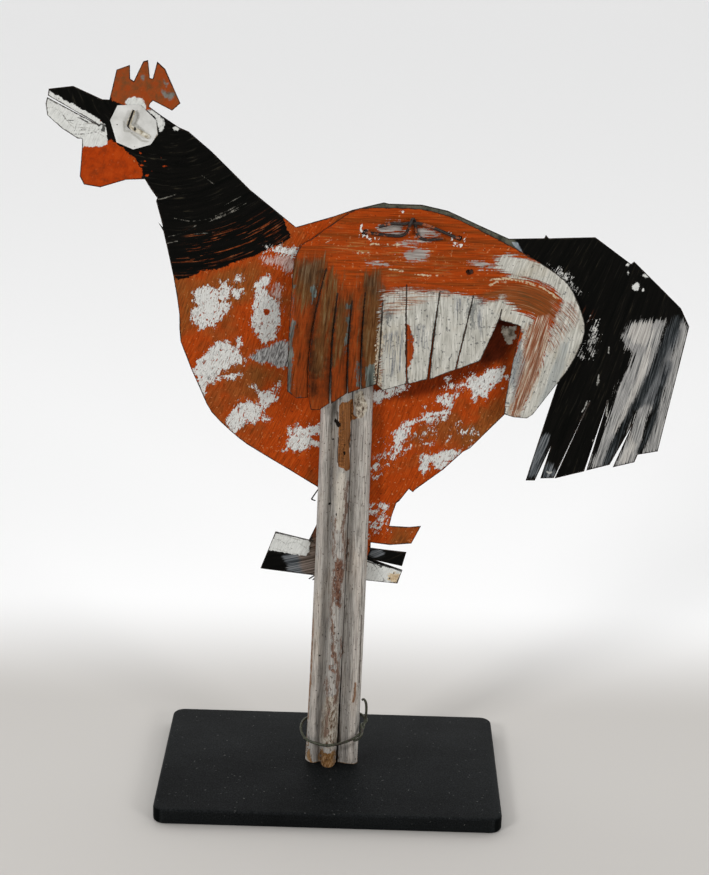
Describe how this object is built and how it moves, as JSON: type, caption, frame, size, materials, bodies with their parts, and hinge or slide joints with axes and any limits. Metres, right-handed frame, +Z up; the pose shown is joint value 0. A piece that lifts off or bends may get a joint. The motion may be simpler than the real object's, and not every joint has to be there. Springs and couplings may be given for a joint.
{
  "type": "tin hen cutout sculpture",
  "caption": "Painted tin hen cut from flat sheet with a bent, slit wing tied on by wire, nailed behind a reeded wooden post that stands on a flat wooden base.",
  "frame": {"origin": "middle of the base's underside", "axes": "+Z up, +X from the hen's beak towards its tail, -Y towards the viewer, who sees the wing"},
  "size_m": [0.5486, 0.2, 0.6446],
  "materials": {
    "black_wood": "black satin paint",
    "old_painted_wood": "worn grey-white paint over brown wood",
    "painted_tin": "hand-brushed orange, black and white paint, scratched",
    "white_tin": "white paint, scratched",
    "iron_wire": "dark, slightly rusty",
    "nail_steel": "dull grey"
  },
  "bodies": {
    "root": {"base": "black_wood", "post": "old_painted_wood", "hen_sheet": "painted_tin", "wing": "painted_tin", "eye_disc": "white_tin", "eye_wire": "iron_wire", "wing_tie_wire": "iron_wire", "foot_ring_wire": "iron_wire", "belly_wire": "iron_wire", "foot_wire": "iron_wire", "wing_nail": "nail_steel", "sheet_nail_top": "nail_steel", "sheet_nail_middle": "nail_steel", "sheet_nail_foot": "nail_steel"}
  },
  "joints": []
}
